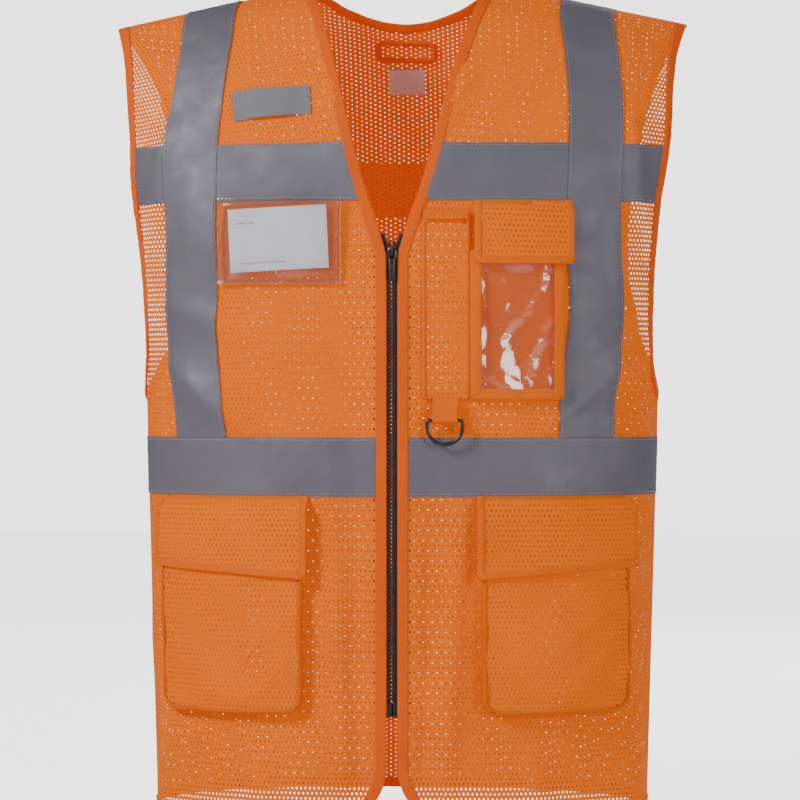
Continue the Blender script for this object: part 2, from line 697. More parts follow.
def tape_material():
    color = (0.150, 0.138, 0.170)
    s = Shader("reflective_tape", color, 0.5, Specular_IOR_Level=0.5, Metallic=0.15)
    beads = s.span(s.noise(5200, 1), 0.3, 0.7, 0.0, 1.0)
    smudge = s.span(s.noise(22, 4), 0.35, 0.7, 0.0, 1.0)
    grey = s.tint(smudge, shade(color, 0.94), shade(color, 1.07))
    facing = s.node("ShaderNodeLayerWeight", Blend=0.35).outputs["Facing"]
    glint = s.tint(s.math("MULTIPLY", facing, 0.35), grey, shade(color, 0.6))
    s.feed("Base Color", s.tint(s.math("MULTIPLY", beads, 0.30), glint, shade(color, 1.35)))
    weave = s.math("MULTIPLY", s.wave(620, "X", s.along), s.wave(620, "Y", s.along))
    s.bump(weave, 0.00006, 0.5)
    s.bump(s.noise(38, 4), 0.0016, 0.6)
    s.bump(s.noise(3600, 1), 0.00005, 0.6)
    s.feed("Roughness", s.span(s.noise(45, 4), 0.3, 0.7, 0.42, 0.62))
    return s.material


def webbing_material():
    color = (0.21, 0.20, 0.225)
    s = Shader("grey_webbing", color, 0.7, Sheen_Weight=0.2)
    parts = s.node("ShaderNodeSeparateXYZ", Vector=s.along)
    stripe = s.math("FRACT", s.math("MULTIPLY", parts.outputs[1], 1 / 0.0052))
    zigzag = s.math("ABSOLUTE", s.math("SUBTRACT", stripe, 0.5))
    slant = s.math("ADD", s.math("MULTIPLY", parts.outputs[0], 1 / 0.0027), s.math("MULTIPLY", zigzag, 3.4))
    rib = s.math("ABSOLUTE", s.math("SINE", s.math("MULTIPLY", slant, pi)))
    s.feed("Base Color", s.tint(rib, shade(color, 0.35), shade(color, 1.55)))
    s.bump(rib, 0.0005, 0.9)
    s.bump(s.noise(2600, 1), 0.0001, 0.5)
    return s.material


def black_textile():
    color = (0.020, 0.014, 0.013)
    s = Shader("black_textile", color, 0.85, Sheen_Weight=0.3)
    parts = s.node("ShaderNodeSeparateXYZ", Vector=s.along)
    slant = s.math("ADD", parts.outputs[0], parts.outputs[1])
    rib = s.math("ABSOLUTE", s.math("SINE", s.math("MULTIPLY", slant, pi / 0.0009)))
    s.feed("Base Color", s.tint(rib, shade(color, 0.6), shade(color, 1.9)))
    s.bump(rib, 0.00025, 0.8)
    s.bump(s.noise(1800, 2), 0.0001, 0.5)
    return s.material


def hard_material(name, color, roughness, wear):
    s = Shader(name, color, roughness, Coat_Weight=0.25, Coat_Roughness=0.25)
    dust = s.span(s.noise(90, 5), 0.45, 0.75, 0.0, 1.0)
    s.feed("Base Color", s.tint(dust, color, wear))
    s.feed("Roughness", s.span(s.noise(260, 4), 0.3, 0.7, roughness - 0.08, roughness + 0.14))
    s.bump(s.noise(900, 3), 0.00008, 0.5)
    return s.material


def film_material(name, wrinkle, least):
    s = Shader(name, (0.95, 0.97, 1.0), 0.07, Metallic=1.0)
    facing = s.node("ShaderNodeLayerWeight", Blend=0.35).outputs["Facing"]
    haze = s.span(s.noise(30, 4), 0.35, 0.75, 0.0, 0.035)
    s.feed("Alpha", s.math("ADD", s.span(facing, 0.0, 1.0, least, 0.65), haze))
    s.bump(s.noise(48, 4), wrinkle, 0.55)
    s.feed("Roughness", s.span(s.noise(120, 3), 0.3, 0.7, 0.04, 0.16))
    return s.material


def card_material():
    color = (0.90, 0.905, 0.97)
    s = Shader("white_card", color, 0.45, Coat_Weight=0.1)
    s.feed("Base Color", s.tint(s.span(s.noise(70, 4), 0.35, 0.7, 0, 1), color, shade(color, 1.08)))
    s.bump(s.noise(900, 3), 0.00006, 0.4)
    return s.material


def print_material():
    s = Shader("card_print", (0.30, 0.31, 0.36), 0.6)
    grain = s.span(s.noise(2200, 2), 0.4, 0.6, 0, 1)
    s.feed("Base Color", s.tint(grain, (0.26, 0.27, 0.32), (0.45, 0.46, 0.52)))
    return s.material


def fuzzy_material():
    color = (0.62, 0.20, 0.035)
    s = Shader("hook_and_loop", color, 0.95, Sheen_Weight=0.6)
    tufts = s.node("ShaderNodeTexVoronoi", Scale=1300.0, Vector=s.where).outputs["Distance"]
    s.feed("Base Color", s.tint(tufts, shade(color, 1.4), shade(color, 0.5)))
    s.bump(tufts, 0.0006, 0.9)
    return s.material


def thread_material(name, color):
    s = Shader(name, color, 0.5, Sheen_Weight=0.3)
    twist = s.span(s.noise(2500, 2), 0.35, 0.65, 0, 1)
    s.feed("Base Color", s.tint(twist, shade(color, 0.75), shade(color, 1.2)))
    s.bump(s.noise(5200, 1), 0.00006, 0.7)
    return s.material


tape = tape_material()
webbing = webbing_material()
zip_cloth = black_textile()
acetal = hard_material("black_plastic", (0.013, 0.011, 0.011), 0.34, (0.036, 0.031, 0.028))
enamel = hard_material("black_metal", (0.018, 0.016, 0.017), 0.24, (0.055, 0.050, 0.050))
ring_finish = hard_material("black_ring", (0.016, 0.014, 0.016), 0.22, (0.050, 0.045, 0.045))
film = film_material("clear_film", 0.0030, 0.045)
badge_film = film_material("badge_film", 0.0007, 0.03)
card_stock = card_material()
card_ink = print_material()
fuzz = fuzzy_material()
orange_thread = thread_material("orange_thread", (0.78, 0.20, 0.03))
grey_thread = thread_material("grey_thread", (0.36, 0.355, 0.40))

# Placing pieces
TOP_BODY = {1: "front_left", -1: "front_right"}
WORD = {1: "left", -1: "right"}


def label(nodes):
    """The material slot of a piece, and the nodes of the frame that it stands for."""
    if nodes:
        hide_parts(*nodes)


def on(obj, body_name, slot_name, *nodes):
    """A piece that rides on one body."""
    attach(obj, body_name)
    label(nodes)


def over_shoulder(obj, hand, slot_name, *nodes):
    """A piece of a front that is sewn to the back at the shoulder, and bends as the front swings."""
    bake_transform(obj)
    label(nodes)


def hung(obj, parent, child, slot_name, top, low, *nodes):
    """A flap: its sewn edge stays, the rest turns."""
    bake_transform(obj)
    label(nodes)


def by_climb(climb, x):
    """The angle of the surface point at a climb and an x."""
    turn = np.maximum(climb - YOKE, 0) / SPAN * pi / 2
    width = half_width(np.minimum(climb, YOKE) + SPAN * np.sin(turn))
    out = np.clip(np.abs(x) / width, 0, 1)
    return np.arctan2((1 - out**ROUND) ** (1 / ROUND), out * np.sign(x))


def drape(side, seed_folds):
    """Lets a coarse cloth of this side, a little too wide for the body, settle on it under its weight."""
    rows, cols, frames = 84, 88, 36
    climb, angle = np.meshgrid(np.linspace(0, RIDGE, rows), np.linspace(0, pi, cols), indexing="ij")
    rest, out = body(side, climb, angle), normal(side, climb, angle)
    start = rest + out * (fold(side, rest) * seed_folds)[..., None]
    cloth = mesh_object("drape_cloth", start.reshape(-1, 3), grid_faces(rows, cols), mesh_cloth)
    form = mesh_object("drape_form", (rest - out * 0.004).reshape(-1, 3), grid_faces(rows, cols), mesh_cloth)
    form.modifiers.new("form", "COLLISION")
    form.collision.thickness_outer = 0.001
    sewn = (climb > RIDGE - 0.004) | (angle < 0.03) | (angle > pi - 0.03) | in_arm(rest, -0.006)
    if side == FRONT:
        sewn |= (np.abs(rest[..., 0]) < 0.010) & (rest[..., 2] < 0.5)
    pins = cloth.vertex_groups.new(name="sewn")
    pins.add([int(i) for i in np.nonzero(sewn.ravel())[0]], 1.0, "REPLACE")
    soft = cloth.modifiers.new("cloth", "CLOTH")
    settings = soft.settings
    settings.quality, settings.mass, settings.air_damping = 6, 0.02, 3
    settings.tension_stiffness = settings.compression_stiffness = 6
    settings.shear_stiffness, settings.bending_stiffness = 3, 0.02
    settings.vertex_group_mass, settings.shrink_min = "sewn", -0.022
    soft.collision_settings.distance_min = 0.001
    soft.point_cache.frame_end = frames
    scene = bpy.context.scene
    for number in range(1, frames + 1):
        scene.frame_set(number)
    solved = cloth.evaluated_get(bpy.context.evaluated_depsgraph_get()).to_mesh()
    found = np.zeros(rows * cols * 3, np.float32)
    solved.vertices.foreach_get("co", found)
    scene.frame_set(1)
    high = ((found.reshape(rows, cols, 3) - rest) * out).sum(-1)
    bpy.data.objects.remove(cloth)
    bpy.data.objects.remove(form)
    for _ in range(2):
        padded = np.pad(high, 1, mode="edge")
        high = (4 * high + padded[:-2, 1:-1] + padded[2:, 1:-1] + padded[1:-1, :-2] + padded[1:-1, 2:]) / 8
    return np.clip(np.nan_to_num(high - fold(side, rest) * seed_folds), -0.004, 0.004)


settled = {side: drape(side, 0.6) for side in (FRONT, BACK)}
DRAPE.update(settled)

# Front and back cloth with real mesh holes
CORNER = 0.050


def hem_low(x):
    """Height of a front's hem, with its round corner at the zip."""
    inside = np.clip(ZIP_EDGE + CORNER - x, 0, CORNER)
    return CORNER - np.sqrt(CORNER**2 - inside**2)


def keep_front(hand):
    """Which holes lie on a front."""

    def keep(p):
        x, z = p[..., 0] * hand, p[..., 2]
        ok = (x > ZIP_EDGE + HOLE_MARGIN) & (z > hem_low(x) + HOLE_MARGIN)
        ok &= (z < NECKLINE[0][1]) | (x > neck_x(z) + 0.004)
        return ok & ~in_arm(p, HOLE_MARGIN)

    return keep


def back_neck(x):
    """Height of the neckline of the back."""
    return BACK_NECK + 0.024 * (x / NECK_HALF) ** 2


def keep_back(p):
    """Which holes lie on the back."""
    x, z = p[..., 0], p[..., 2]
    neck = (np.abs(x) < NECK_HALF + 0.004) & (z > back_neck(x) - HOLE_MARGIN)
    return (z > HOLE_MARGIN) & ~neck & ~in_arm(p, HOLE_MARGIN)


def flat_lift(value):
    """A lift that is the same everywhere."""
    return lambda p: np.full(p.shape[:-1], value)


for hand in (1, -1):
    made = lattice(f"mesh_front_{WORD[hand]}", FRONT, keep_front(hand), flat_lift(CLOTH_LIFT))
    over_shoulder(made, hand, "orange_mesh", f"front_panel_{WORD[hand]}")
# The back's smaller holes keep bright bands from showing where two layers line up
made = lattice("mesh_back", BACK, keep_back, flat_lift(CLOTH_LIFT), BACK_HOLE, crosswise=True)
on(made, "back", "orange_mesh", "back_panel")


# Bindings
def front_edge_xz(hand):
    """The edge of a front: hem, round corner, zip edge, neckline and up to the shoulder seam."""
    start = by_climb(np.array(0.0), np.array(ZIP_EDGE + CORNER))
    hem = body(FRONT, np.zeros(260), np.linspace(0.0, float(start), 260))
    turn = np.linspace(1.5 * pi, pi, 60)
    corner = np.stack([ZIP_EDGE + CORNER * (1 + np.cos(turn)), CORNER * (1 + np.sin(turn))], -1)
    edge = line((ZIP_EDGE, CORNER), (ZIP_EDGE, NECKLINE[0][1]), 120)
    x, z = NECK_CURVE[-1]
    rise = np.linspace(0, 1, 60)[1:]
    close = np.stack([x + 0 * rise, z + (crest(x) - z) * rise], -1)
    path = np.vstack([hem[:, [0, 2]], corner[1:], edge[1:], NECK_CURVE[1:], close])
    return path * np.array([hand, 1])


# Thread of the tapes and thread of all other seams, by the body it is on
threads, plain_threads = ({key: Heap() for key in ("back", "front_left", "front_right")} for _ in range(2))


def rippled(points, inward, outward):
    """A slightly uneven edge, as sewn binding has."""
    run = distance(points)
    uneven = np.sin(run * 410 + 3 * np.sin(run * 97)) + 0.6 * np.sin(run * 733)
    size = uneven * 0.12 * 0.001
    return points + inward * (size * 0.4)[:, None] + outward * size[:, None]


def bound(name, side, xz, hand, heap):
    """A binding folded over a raw edge, with its row of stitches."""
    points, inward, outward = path_frame(side, xz, PATH_STEP, hand)
    points = rippled(points, inward, outward)
    stitch(heap, points + inward * 0.0080 + outward * 0.00135, outward)
    verts, faces, uv = sweep(points, inward, outward, FOLDED)
    return mesh_object(name, verts, faces, trim_cloth, uv)


for hand in (1, -1):
    word, heap, heap_back = WORD[hand], plain_threads[TOP_BODY[hand]], plain_threads["back"]
    made = bound(f"binding_front_{word}", FRONT, front_edge_xz(hand), -hand, heap)
    over_shoulder(made, hand, "orange_binding", f"front_edge_binding_{word}")
    made = bound(f"binding_armhole_front_{word}", FRONT, arm_path(FRONT, hand), hand, heap)
    over_shoulder(made, hand, "orange_binding", f"front_armhole_binding_{word}")
    made = bound(f"binding_armhole_back_{word}", BACK, arm_path(BACK, hand), -hand, heap_back)
    on(made, "back", "orange_binding", f"back_armhole_binding_{word}")

hem_back = body(BACK, np.zeros(500), np.linspace(0.0, pi, 500))[:, [0, 2]]
made = bound("binding_hem_back", BACK, hem_back, 1, plain_threads["back"])
on(made, "back", "orange_binding", "back_hem_binding")
across = np.linspace(NECK_HALF, -NECK_HALF, 200)
neck_back = np.stack([across, back_neck(across)], -1)
made = bound("binding_neck_back", BACK, neck_back, -1, plain_threads["back"])
on(made, "back", "orange_binding", "back_neck_binding")

# Shoulder and side seams, with the overlocked edges folded in
SEAM = [
    (-0.0030, 0.0010), (-0.0022, 0.0016), (-0.0006, 0.0014), (0.0, 0.0009), (0.0006, 0.0014),
    (0.0022, 0.0016), (0.0030, 0.0010), (0.0026, -0.0006), (0.0, -0.0012), (-0.0026, -0.0006),
]
for hand in (1, -1):
    x = hand * np.linspace(0.080, 0.250, 80)
    climb = np.full(80, RIDGE - 1e-5)
    angle = by_climb(climb, x)
    points = lifted(FRONT, climb, angle, 0)
    outward = normal(FRONT, climb - 1e-3, angle)
    inward = unit(np.cross(outward, directions(points)))
    verts, faces, uv = sweep(points, inward, outward, SEAM)
    on(mesh_object(f"seam_shoulder_{WORD[hand]}", verts, faces, hem_cloth, uv), "back", "orange_mesh")
    climb = np.linspace(0.0005, 0.369, 150)
    points = body(BACK, climb, np.full(150, 1e-3 if hand == 1 else pi - 1e-3))
    outward = np.tile([hand, 0.0, 0.0], (150, 1))
    points = points - outward * 0.0006
    inward = np.tile([0.0, 1.0, 0.0], (150, 1))
    verts, faces, uv = sweep(points, inward, outward, SEAM)
    on(mesh_object(f"seam_side_{WORD[hand]}", verts, faces, hem_cloth, uv), "back", "orange_mesh")


# Reflective tapes
def taped(name, place, us, vs, low, high, lines, heap):
    """A tape with its rows of stitches. lines are (u stations, v stations) of the rows."""

    def puckered(u, v, lift):
        fine = np.sin(u * 900 + 2 * np.sin(u * 230)) * 0.00010
        fine = fine + np.sin(v * 700 + 1.7 * np.sin(v * 190)) * 0.00008
        return place(u, v, lift + fine)

    for u, v in lines:
        u, v = np.broadcast_arrays(np.asarray(u, float), np.asarray(v, float))
        row = place(u, v, np.full(u.shape, high + 0.00012))
        over = place(u, v, np.full(u.shape, high + 0.00112))
        stitch(heap, row, unit(over - row))
    return sheet(name, tape, puckered, us, vs, low, high)


def arc_place(side):
    """Places a sheet by arc distances over the cloth."""
    return lambda u, v, lift: lifted(side, *skin(side, u, v), lift)


WAIST, CHEST, TAPE_HALF = 0.304, 0.556, 0.025
TAPE_LIFTS, BRACE_LIFTS = (0.0009, 0.0014), (0.0016, 0.0021)
# Middle line of a brace: (climb, x)
BRACE_LINE = [(0.3295, 0.163), (0.42, 0.1685), (0.48, 0.1705), (0.58, 0.1705), (0.705, 0.164)]
BRACE_LINE = curve_through(BRACE_LINE, 40)


def seam_reach(side, z):
    """Arc distance from the middle to the side seam."""
    arcs = ARCS[side]
    return float(np.interp(z, arcs["climbs"], arcs["rows"]))


def arm_x(side, z):
    """How far out the armhole's edge is at a height."""
    path = arm_path(side, 1, 400)
    low = path[:, 1] > 0.48
    return np.interp(z, path[low, 1], path[low, 0])


INSET = 0.0022


def level_rows(run, middle):
    """The two rows of stitches of a level tape."""
    return [(run, np.full(len(run), middle + way * (TAPE_HALF - INSET))) for way in (-1, 1)]


def level_stations(middle):
    """Stations across a level tape."""
    return spaced(middle - TAPE_HALF, middle + TAPE_HALF, CLOTH_STEP)


for hand in (1, -1):
    word = WORD[hand]
    heap = threads[TOP_BODY[hand]]
    near, far = 0.0142, seam_reach(FRONT, WAIST)
    us = hand * spaced(near, far, CLOTH_STEP)
    vs = level_stations(WAIST)
    run = hand * np.linspace(near + 0.001, far - 0.004, 260)
    lines = level_rows(run, WAIST)
    made = taped(f"tape_waist_{word}", arc_place(FRONT), us, vs, *TAPE_LIFTS, lines, heap)
    on(made, TOP_BODY[hand], "reflective_tape", f"waist_tape_{word}")

    def chest_place(u, z, lift, hand=hand):
        inner, outer = neck_x(z) + 0.0085, arm_x(FRONT, z) - 0.0060
        return at(FRONT, hand * (inner + (outer - inner) * u), z, lift)

    us = spaced(0, 1, 0.026, 0.004)
    vs = level_stations(CHEST)
    lines = level_rows(np.linspace(0.01, 0.99, 220), CHEST)
    made = taped(f"tape_chest_{word}", chest_place, us, vs, *TAPE_LIFTS, lines, heap)
    over_shoulder(made, hand, "reflective_tape", f"chest_tape_{word}")

    for side, key in ((FRONT, "front"), (BACK, "back")):
        def brace_place(u, climb, lift, side=side, hand=hand):
            x = np.interp(climb, BRACE_LINE[:, 0], BRACE_LINE[:, 1]) + u * 0.94
            x = x + (0.003 if hand > 0 else 0.0065) * smooth((0.66 - climb) / 0.2)
            x = x + 0.0016 * np.sin(climb * 46 + (0.4 if hand > 0 else 1.9))
            return lifted(side, climb, by_climb(climb, hand * x), lift)

        us = spaced(-TAPE_HALF, TAPE_HALF, CLOTH_STEP)
        vs = spaced(0.3292, RIDGE - 1e-4, 0.0036)
        run = np.linspace(0.331, RIDGE - 0.001, 420)
        lines = [(np.full(420, -TAPE_HALF + INSET), run), (np.full(420, TAPE_HALF - INSET), run)]
        heap_here = heap if side == FRONT else threads["back"]
        made = taped(f"tape_brace_{key}_{word}", brace_place, us, vs, *BRACE_LIFTS, lines, heap_here)
        if side == FRONT:
            over_shoulder(made, hand, "reflective_tape", f"brace_tape_{word}")
        else:
            on(made, "back", "reflective_tape", f"back_brace_tape_{word}")

far = seam_reach(BACK, WAIST)
run = np.linspace(-far + 0.004, far - 0.004, 520)
us, vs, lines = spaced(-far, far, CLOTH_STEP), level_stations(WAIST), level_rows(run, WAIST)
made = taped("tape_waist_back", arc_place(BACK), us, vs, *TAPE_LIFTS, lines, threads["back"])
on(made, "back", "reflective_tape", "back_waist_tape")


def back_chest_place(u, z, lift):
    return at(BACK, u * (arm_x(BACK, z) - 0.0060), z, lift)


us, vs = spaced(-1, 1, 0.024, 0.003), level_stations(CHEST)
lines = level_rows(np.linspace(-0.99, 0.99, 420), CHEST)
made = taped("tape_chest_back", back_chest_place, us, vs, *TAPE_LIFTS, lines, threads["back"])
on(made, "back", "reflective_tape", "back_chest_tape")


# Zip: tapes, interlocking teeth, stops, pin and box
CHAIN_Y = -0.12885
ZIP_LOW, ZIP_HIGH = 0.092, 0.490
PITCH = 0.0035


def bevelled(heap, outline, front, back, bevel):
    """A plate between two y planes with its edges bevelled. outline is anticlockwise in x and z."""
    outline = np.asarray(outline, float)
    area = np.sum(outline[:, 0] * np.roll(outline[:, 1], -1) - np.roll(outline[:, 0], -1) * outline[:, 1])
    if area < 0:
        outline = outline[::-1]
    before, after = np.roll(outline, 1, 0), np.roll(outline, -1, 0)
    a, b = unit(outline - before), unit(after - outline)
    turn_in = unit(np.stack([-(a + b)[:, 1], (a + b)[:, 0]], -1))
    small = outline + turn_in * bevel
    rings = [(small, front), (outline, front + bevel), (outline, back - bevel), (small, back)]
    count = len(outline)
    verts = [[x, y, z] for ring, y in rings for x, z in ring]
    faces = grid_faces(4, count, wrap_cols=True, flip=True)
    faces.append(list(range(count)))
    faces.append([3 * count + i for i in range(count)][::-1])
    heap.add(verts, faces)


def tube(heap, points, radius, closed=False, sides=12, normal_hint=(0, 1, 0)):
    """Round wire or cord along a path."""
    points = np.asarray(points, float)
    along = directions(points, closed)
    side_way = unit(np.cross(along, np.asarray(normal_hint, float)))
    up = np.cross(side_way, along)
    angles = np.arange(sides) * 2 * pi / sides
    c, s = np.cos(angles)[None, :, None], np.sin(angles)[None, :, None]
    verts = points[:, None] + radius * (c * side_way[:, None] + s * up[:, None])
    faces = grid_faces(len(points), sides, wrap_rows=closed, wrap_cols=True)
    if not closed:
        faces += [list(range(sides))[::-1], [(len(points) - 1) * sides + i for i in range(sides)]]
    heap.add(verts.reshape(-1, 3), faces)


def rounded(x0, x1, z0, z1, radius, steps=6):
    """Outline of a rectangle with round corners."""
    out = []
    low, high = z0 + radius, z1 - radius
    for cx, cz, start in (
        (x1 - radius, low, -90), (x1 - radius, high, 0), (x0 + radius, high, 90), (x0 + radius, low, 180),
    ):
        for i in range(steps + 1):
            a = radians(start + 90 * i / steps)
            out.append((cx + radius * cos(a), cz + radius * sin(a)))
    return np.array(out)


# Outline of a tooth in millimetres
TOOTH = [
    (3.0, -0.6), (0.9, -0.6), (0.3, -0.82), (-0.6, -0.70), (-0.85, 0), (-0.6, 0.70), (0.3, 0.82), (0.9, 0.6),
    (3.0, 0.6),
]
for hand in (1, -1):
    word, holder = WORD[hand], TOP_BODY[hand]

    def zip_place(u, z, lift, hand=hand):
        return at(FRONT, hand * (u + np.maximum(neck_x(z) - ZIP_EDGE, 0)), z, lift)

    us, vs = spaced(0.0009, 0.0160, 0.003), spaced(ZIP_LOW, ZIP_HIGH + 0.012, 0.006)
    made = sheet(f"zip_tape_{word}_cloth", zip_cloth, zip_place, us, vs, -0.0015, -0.0009)
    on(made, holder, "black_textile", f"zip_tape_{word}")
    heap = Heap()
    first = 0.1065 + (0 if hand > 0 else PITCH / 2)
    for z in np.arange(first, ZIP_HIGH - 0.001, PITCH):
        outline = [(hand * x * 0.001, z + dz * 0.001) for x, dz in TOOTH]
        bevelled(heap, outline, CHAIN_Y - 0.0012, CHAIN_Y + 0.0012, 0.00032)
    cord = line((hand * 0.0029, CHAIN_Y, 0.1055), (hand * 0.0029, CHAIN_Y, ZIP_HIGH), 180)
    tube(heap, cord, 0.00085, sides=8)
    on(heap.build(f"zip_teeth_{word}_row", acetal), holder, "black_plastic", f"zip_teeth_{word}")
    heap = Heap()
    low, high = sorted((hand * 0.0008, hand * 0.0034))
    stop = rounded(low, high, ZIP_HIGH + 0.0015, ZIP_HIGH + 0.006, 0.0007)
    bevelled(heap, stop, CHAIN_Y - 0.0015, CHAIN_Y + 0.0015, 0.0004)
    on(heap.build(f"zip_stop_{word}", acetal), holder, "black_plastic", f"zip_top_stop_{word}")

heap = Heap()
bevelled(heap, rounded(0.0006, 0.0024, 0.0945, 0.1045, 0.0006), CHAIN_Y - 0.0010, CHAIN_Y + 0.0010, 0.00035)
on(heap.build("zip_pin", acetal), "front_left", "black_plastic", "zip_insertion_pin")
heap = Heap()
bevelled(heap, rounded(-0.0041, 0.0041, 0.092, 0.0945, 0.0008), CHAIN_Y - 0.0022, CHAIN_Y + 0.0022, 0.0005)
bevelled(heap, rounded(-0.0041, -0.0001, 0.0940, 0.1045, 0.0010), CHAIN_Y - 0.0022, CHAIN_Y + 0.0022, 0.0005)
bevelled(heap, rounded(-0.0003, 0.0041, 0.0940, 0.1040, 0.0010), CHAIN_Y + 0.0012, CHAIN_Y + 0.0022, 0.0003)
on(heap.build("zip_box", acetal), "front_right", "black_plastic", "zip_retainer_box")

heap = Heap()
# Outline of the slider in millimetres
SLIDER = [
    (-2.4, 0), (2.4, 0), (3.6, 1.4), (4.1, 4.2), (4.1, 9.2), (3.4, 11.6), (2.0, 13.0), (0.7, 12.6), (0, 12.0),
    (-0.7, 12.6), (-2.0, 13.0), (-3.4, 11.6), (-4.1, 9.2), (-4.1, 4.2), (-3.6, 1.4),
]
SLIDER_FOOT = 0.478
outline = [(x * 0.001, SLIDER_FOOT + z * 0.001) for x, z in SLIDER]
bevelled(heap, outline, CHAIN_Y - 0.0026, CHAIN_Y - 0.0015, 0.00035)
bevelled(heap, outline, CHAIN_Y + 0.0014, CHAIN_Y + 0.0024, 0.00035)
post = rounded(-0.0004, 0.0004, 0.4850, 0.4900, 0.0002, 2)
bevelled(heap, post, CHAIN_Y - 0.0020, CHAIN_Y + 0.0020, 0.0001)
# The bail that holds the pull: (height, y)
bail = curve_through([
    (0.4822, CHAIN_Y - 0.0020), (0.4826, -0.1332), (0.4845, -0.1349), (0.4895, -0.1349), (0.4908, -0.1330),
    (0.4908, CHAIN_Y - 0.0020),
], 7)
for shift in (-0.00065, 0.0, 0.00065):
    wire = np.stack([np.full(len(bail), shift), bail[:, 1], bail[:, 0]], -1)
    tube(heap, wire, 0.00055, sides=8, normal_hint=(1, 0, 0))
on(heap.build("slider_body", enamel), "slider", "black_metal", "zip_slider")
heap = Heap()
PULL_Y = -0.13345
ring = rounded(-0.0024, 0.0024, 0.4800, 0.4884, 0.0012, 4)
tube(heap, np.stack([ring[:, 0], np.full(len(ring), PULL_Y), ring[:, 1]], -1), 0.00075, closed=True, sides=10)
bevelled(heap, rounded(-0.0026, 0.0026, 0.4622, 0.4812, 0.0013), PULL_Y - 0.0007, PULL_Y + 0.0007, 0.0003)
for z in np.arange(0.4650, 0.4745, 0.0016):
    rib = rounded(-0.0017, 0.0017, z, z + 0.0007, 0.0003, 2)
    bevelled(heap, rib, PULL_Y - 0.0010, PULL_Y - 0.0005, 0.00012)
on(heap.build("pull_tab", enamel), "pull", "black_metal", "zip_pull")


# Pockets
def rim(name, side, xz, hand, profile, material, lift=None, closed=False, heap=None, stitch_at=(0, 0)):
    """A folded edge carried along a path, at a lift that may change along it.

    stitch_at is (distance inward, lift) of its stitches.
    """
    points, inward, outward = path_frame(side, np.asarray(xz, float), PATH_STEP, hand, closed)
    if lift is not None:
        points = points + outward * lift(points)[:, None]
    if heap is not None:
        stitch(heap, points + inward * stitch_at[0] + outward * stitch_at[1], outward)
    verts, faces, uv = sweep(points, inward, outward, profile, closed)
    return mesh_object(name, verts, faces, material, uv)


def bag_path(x0, x1, z0, z1, radius, hand):
    """Down the zip side, round the bottom and up the far side."""
    turn = np.linspace(pi, 1.5 * pi, 10)
    inner = np.stack([x0 + radius + radius * np.cos(turn), z0 + radius + radius * np.sin(turn)], -1)
    turn = turn[::-1]
    outer = np.stack([x1 - radius - radius * np.cos(turn), z0 + radius + radius * np.sin(turn)], -1)
    down = line((x0, z1), (x0, z0 + radius), 60)
    floor_run = line((x0 + radius, z0), (x1 - radius, z0), 60)
    up = line((x1, z0 + radius), (x1, z1), 60)
    path = np.vstack([down[:-1], inner[:-1], floor_run[:-1], outer[:-1], up])
    return path * np.array([hand, 1])


def in_bag(x0, x1, z0, z1, radius, hand):
    """Which holes lie on a bag with round lower corners."""

    def keep(p):
        x, z = p[..., 0] * hand, p[..., 2]
        ok = (x > x0) & (x < x1) & (z > z0) & (z < z1) & (p[..., 1] < 0)
        for cx, way in ((x0 + radius, -1), (x1 - radius, 1)):
            corner = ((x - cx) * way > 0) & (z < z0 + radius)
            ok &= ~(corner & (np.hypot(x - cx, z - z0 - radius) > radius))
        return ok

    return keep


GUSSET = [
    (0.0, 0.0009), (-0.0006, 0.0030), (0.0022, 0.0055), (-0.0004, 0.0086), (-0.0002, 0.0102),
    (0.0008, 0.0108), (0.0034, 0.0107), (0.0038, 0.0100), (0.0012, 0.0094), (0.0008, 0.0086),
    (0.0032, 0.0055), (0.0006, 0.0030), (0.0010, 0.0009),
]
# Boxes of pieces on the front: x from, x to, z from, z to
BAG = (0.0765, 0.1975, 0.0945, 0.262)
FLAP = (0.072, 0.203, 0.2085, 0.2795)
POCKET_STRIP = (0.090, 0.184, 0.219, 0.239)
PHONE_STRIP = (0.085, 0.141, 0.4795, 0.4880)
PHONE_FLAP = (0.070, 0.153, 0.4765, 0.531)
PEN = (0.0255, 0.0665, 0.361, 0.514)
FLAP_EDGE = [
    (0.0062, 0.0004), (0.0060, 0.0008), (0.0030, 0.0010), (0.0008, 0.0009), (0.0, 0.0004), (0.0001, -0.0003),
    (0.0010, -0.0007), (0.0060, -0.0006),
]


def puff(p, hand):
    """How far the front of a lower pocket bulges."""
    x, z = p[..., 0] * hand, p[..., 2]
    across = np.clip((x - BAG[0]) / (BAG[1] - BAG[0]), 0, 1)
    fall = smooth((0.206 - z) / 0.05) * smooth((z - 0.094) / 0.02)
    crease = 0.0007 * np.sin(z * 120 + 2.5 * np.sin(x * 60)) * smooth((0.2 - z) / 0.03)
    return (0.0022 * np.sin(pi * across) + crease) * fall


